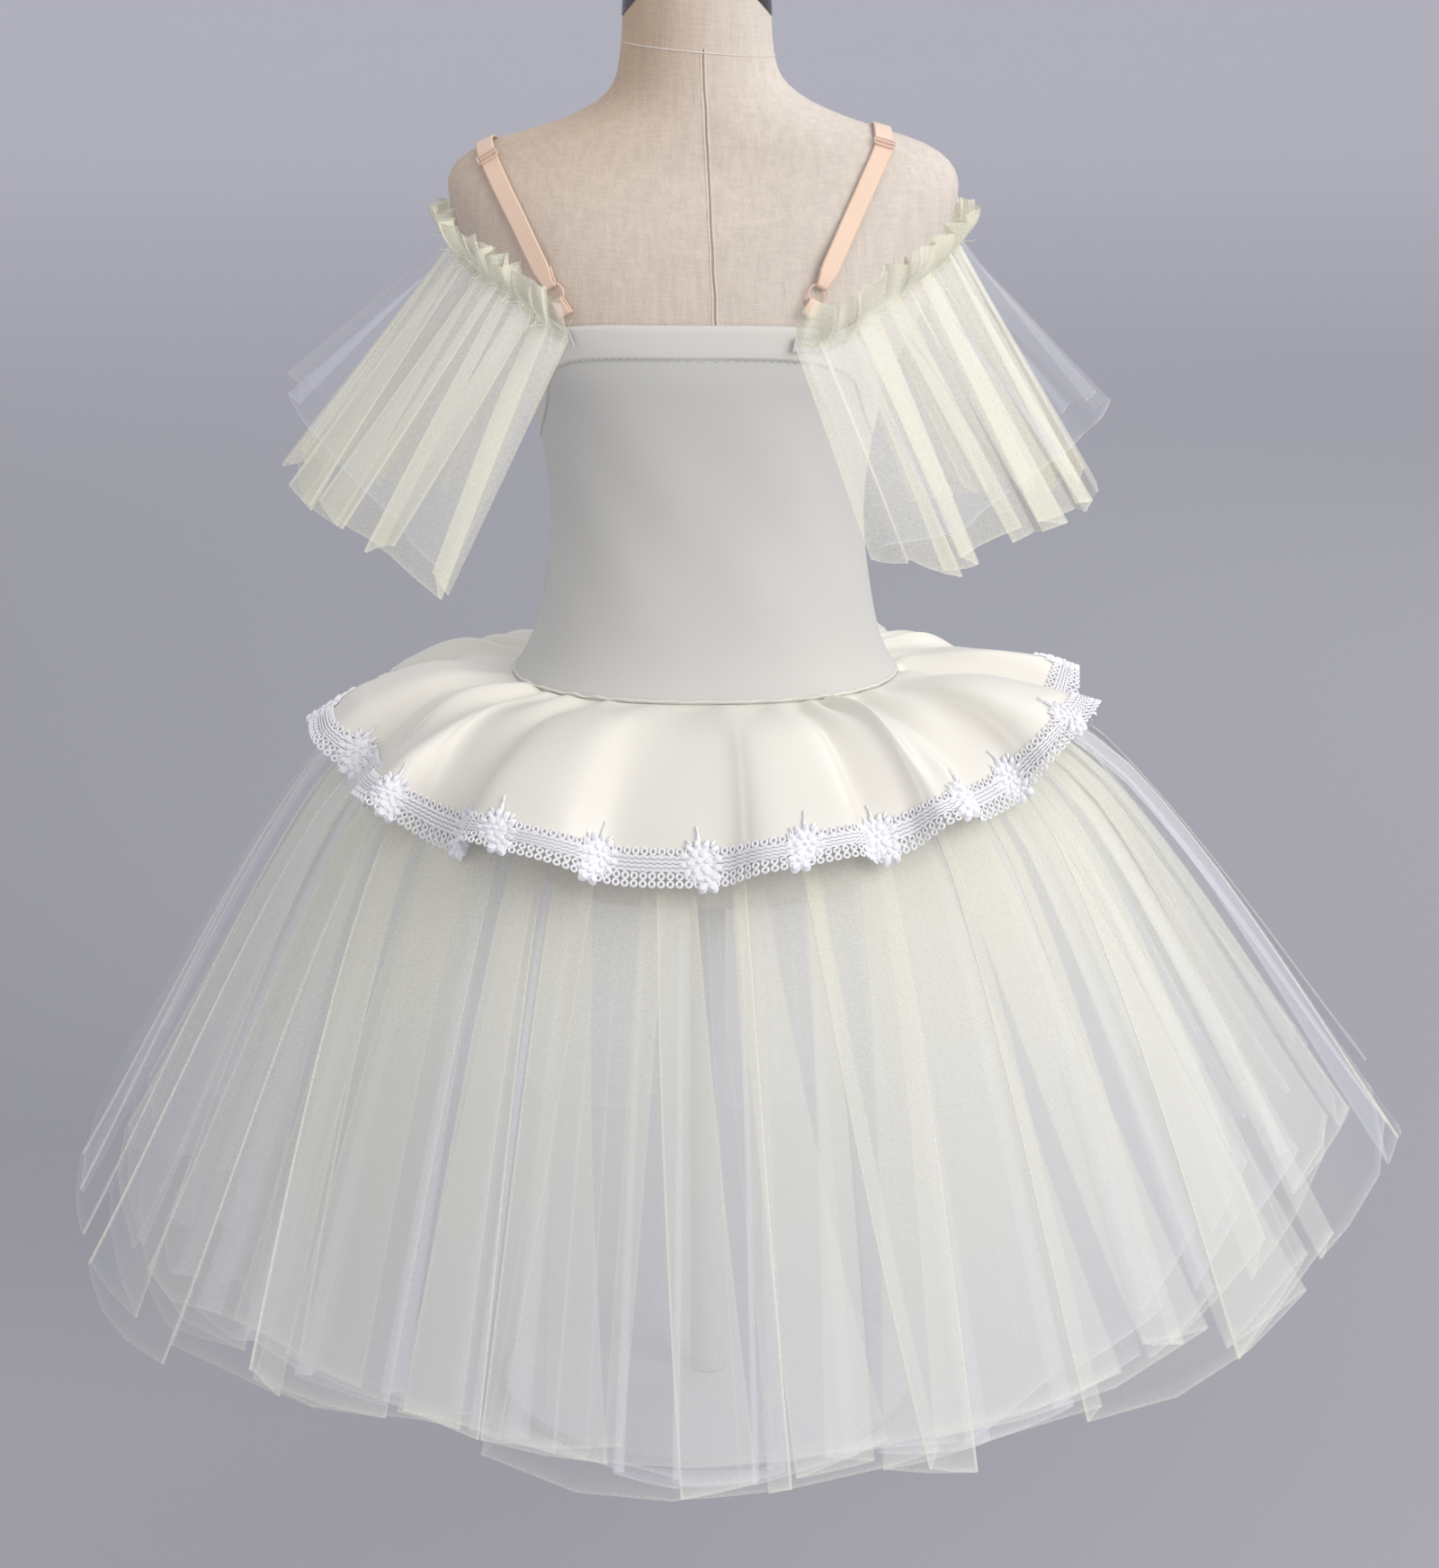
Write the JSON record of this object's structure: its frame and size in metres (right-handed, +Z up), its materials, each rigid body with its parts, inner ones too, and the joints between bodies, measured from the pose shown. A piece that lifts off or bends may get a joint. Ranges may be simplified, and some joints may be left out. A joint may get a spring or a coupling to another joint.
{
  "type": "ballet tutu on a limbless dress form",
  "caption": "Child's knee-length ballet tutu with a plain bodice, tulle sleeves, lace-edged peplum and tulle skirt, worn by a dress form on a stand.",
  "frame": {"origin": "centre of the base plate's underside", "axes": "+Z up; the wearer faces -Y, the back of the dress is at +Y, and +X is the wearer's left"},
  "size_m": [0.8207, 0.7257, 0.8863],
  "materials": {
    "linen": "plain linen over a moulded form",
    "cap": "glossy black",
    "stand": "pale grey paint",
    "stretch": "ivory stretch knit, matt",
    "satin": "ivory satin, soft sheen",
    "lace": "white guipure lace",
    "cream_tulle": "cream net",
    "white_tulle": "white net",
    "elastic": "peach elastic, soft sheen",
    "fitting": "rose coated, glossy"
  },
  "bodies": {
    "root": {"base_plate": "stand", "pole": "stand", "form_torso": "linen", "neck_cap": "cap", "bodice_back": "stretch", "bodice_front": "stretch", "top_band": "stretch", "hip_yoke": "stretch", "peplum": "satin", "peplum_lace": "lace", "tulle_ply_1_cream": "cream_tulle", "tulle_ply_2_cream": "cream_tulle", "tulle_ply_3_white": "white_tulle", "tulle_ply_4_white": "white_tulle", "sleeve_left_band": "elastic", "sleeve_left_cream": "cream_tulle", "sleeve_left_white": "white_tulle", "strap_left": "elastic", "strap_ring_left": "fitting", "strap_slider_left": "fitting", "strap_tab_left": "elastic", "sleeve_right_band": "elastic", "sleeve_right_cream": "cream_tulle", "sleeve_right_white": "white_tulle", "strap_right": "elastic", "strap_ring_right": "fitting", "strap_slider_right": "fitting", "strap_tab_right": "elastic"}
  },
  "joints": []
}
